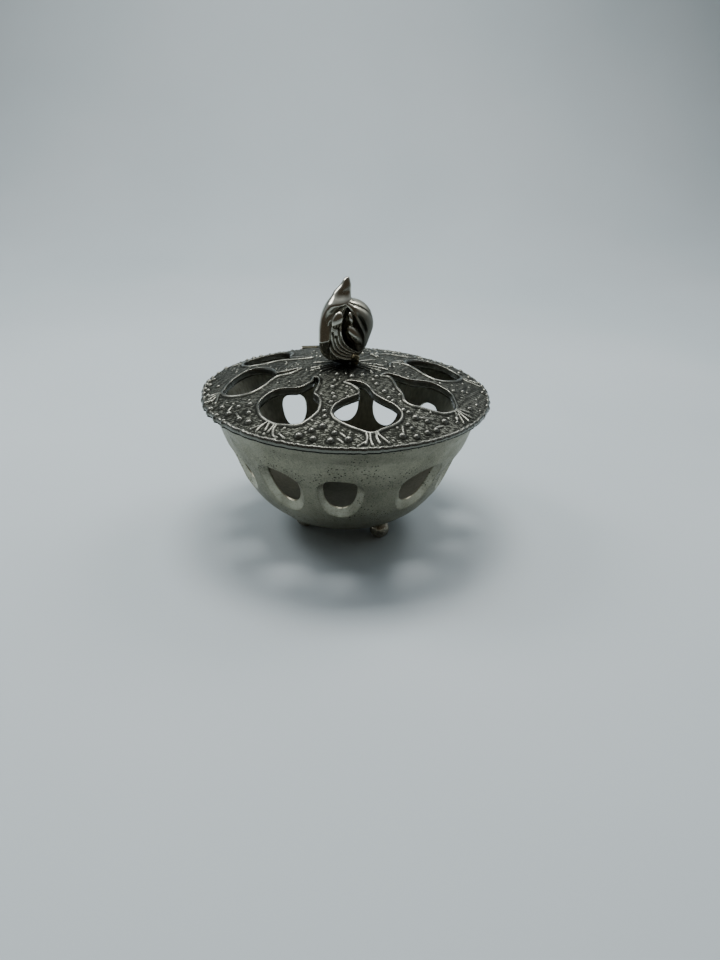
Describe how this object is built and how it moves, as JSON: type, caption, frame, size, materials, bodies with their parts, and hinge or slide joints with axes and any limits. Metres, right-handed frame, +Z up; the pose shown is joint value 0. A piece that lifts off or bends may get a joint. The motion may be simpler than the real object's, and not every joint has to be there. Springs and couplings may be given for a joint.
{
  "type": "pierced lidded bowl",
  "caption": "Small footed cast pewter bowl with a pierced wall and a hinged domed openwork lid topped by a garlic-bulb finial; keeps garlic or scents aired.",
  "frame": {"origin": "on the bowl's axis, at the surface the feet stand on", "axes": "+Z up along the bowl's axis, +Y from the front to the hinge, +X to the right seen from the front"},
  "size_m": [0.12, 0.1216, 0.1075],
  "materials": {
    "pewter_satin": "satin cast pewter with fine pits",
    "pewter_antiqued": "oxidised dark ground with polished high points",
    "pewter_polished": "polished pewter with dark recesses",
    "pewter_feet": "worn pewter",
    "brass_stud": "aged brass",
    "steel_pin": "drawn wire"
  },
  "bodies": {
    "bowl": {"bowl_body": "pewter_satin", "foot_front_left": "pewter_feet", "foot_front_right": "pewter_feet", "foot_back_left": "pewter_feet", "foot_back_right": "pewter_feet", "bowl_hinge_leaf": "pewter_satin", "hinge_pin": "steel_pin"},
    "lid": {"lid_plate": "pewter_antiqued", "lid_hinge_leaf": "pewter_satin", "finial_bulb": "pewter_polished", "finial_stud": "brass_stud", "finial_nut": "brass_stud"}
  },
  "joints": [
    {"name": "lid_hinge", "type": "hinge", "parent": "bowl", "child": "lid", "pos_m": [0, 0.0598, 0.06], "axis": [-1, 0, 0], "range_deg": [0, 100]}
  ]
}
